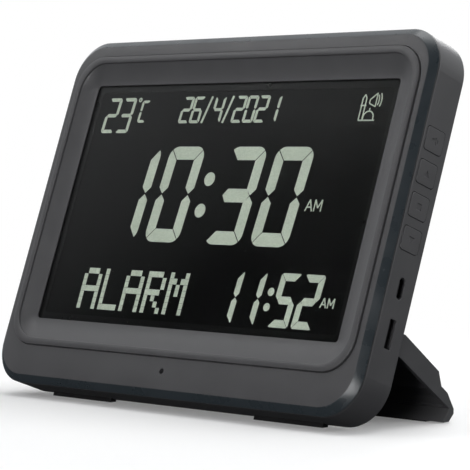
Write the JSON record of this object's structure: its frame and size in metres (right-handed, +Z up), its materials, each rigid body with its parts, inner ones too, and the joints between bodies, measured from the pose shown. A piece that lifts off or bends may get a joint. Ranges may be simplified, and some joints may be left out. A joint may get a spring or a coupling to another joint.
{
  "type": "azan clock",
  "caption": "Leaning desk clock with a wide dark display in a rimmed slate frame, side buttons and sockets, rear speaker and battery bulge, and a fold-up rear stand.",
  "frame": {"origin": "centre of the footprint of the standing clock, on the desk surface", "axes": "+X to the right seen from the front, where the buttons are; -Y is the way the face looks; +Z up"},
  "size_m": [0.228, 0.0832, 0.1645],
  "materials": {
    "case": "satin",
    "buttons": "satin",
    "pane": "gloss",
    "lcd_glass": "gloss",
    "lcd_film": "gloss",
    "diffuser": "satin",
    "reflector": "satin",
    "lit_segment": "satin",
    "frame_plastic": "matte",
    "board": "satin",
    "lamp": "gloss",
    "chip": "matte",
    "bright_metal": "satin",
    "screw_steel": "satin",
    "rubber": "matte",
    "ribbon": "satin",
    "socket_plastic": "satin",
    "lead": "satin",
    "sensor": "gloss",
    "speaker_metal": "satin",
    "magnet": "matte",
    "cone_paper": "matte",
    "foam": "matte",
    "battery_wrap": "satin"
  },
  "bodies": {
    "clock_body": {"front_bezel": "case", "rear_housing": "case", "battery_door": "case", "display_window": "pane", "lcd_front_glass": "lcd_glass", "lcd_rear_glass": "lcd_glass", "front_polariser": "lcd_film", "rear_polariser": "lcd_film", "diffuser_sheet": "diffuser", "light_guide": "diffuser", "reflector_sheet": "reflector", "main_time_segments": "lit_segment", "date_segments": "lit_segment", "temperature_segments": "lit_segment", "alarm_time_segments": "lit_segment", "message_dots": "lit_segment", "period_marks": "lit_segment", "mosque_symbol": "lit_segment", "lcd_frame": "frame_plastic", "main_board": "board", "backlight_strip": "board", "backlight_leds": "lamp", "processor_chip": "chip", "memory_chip": "chip", "amplifier_chip": "chip", "side_switches": "chip", "crystal_can": "bright_metal", "capacitors": "bright_metal", "usb_socket": "bright_metal", "card_socket": "bright_metal", "case_screws": "screw_steel", "frame_screws": "screw_steel", "board_screws": "screw_steel", "speaker_screws": "screw_steel", "door_screw": "screw_steel", "hinge_pins": "screw_steel", "body_feet": "rubber", "display_ribbon": "ribbon", "lead_sockets": "socket_plastic", "speaker_leads": "lead", "battery_leads": "lead", "temperature_sensor": "sensor", "speaker_basket": "speaker_metal", "speaker_magnet": "magnet", "speaker_cone": "cone_paper", "speaker_gasket": "foam", "battery_foam": "foam", "battery_pack": "battery_wrap"},
    "stand": {"stand": "case", "stand_feet": "rubber"},
    "sound_button": {"sound_button": "buttons", "sound_plunger": "socket_plastic"},
    "up_button": {"up_button": "buttons", "up_plunger": "socket_plastic"},
    "set_button": {"set_button": "buttons", "set_plunger": "socket_plastic"},
    "down_button": {"down_button": "buttons", "down_plunger": "socket_plastic"}
  },
  "joints": [
    {"name": "stand_fold", "type": "hinge", "parent": "clock_body", "child": "stand", "pos_m": [0, -0.0074, 0.03616], "axis": [1, 0, 0], "range_deg": [0, 107.5]},
    {"name": "sound_press", "type": "slide", "parent": "clock_body", "child": "sound_button", "axis": [-1, 0, 0], "range_m": [0, 0.0005], "stiffness_N_per_m": 2000},
    {"name": "up_press", "type": "slide", "parent": "clock_body", "child": "up_button", "axis": [-1, 0, 0], "range_m": [0, 0.0005], "stiffness_N_per_m": 2000},
    {"name": "set_press", "type": "slide", "parent": "clock_body", "child": "set_button", "axis": [-1, 0, 0], "range_m": [0, 0.0005], "stiffness_N_per_m": 2000},
    {"name": "down_press", "type": "slide", "parent": "clock_body", "child": "down_button", "axis": [-1, 0, 0], "range_m": [0, 0.0005], "stiffness_N_per_m": 2000}
  ]
}
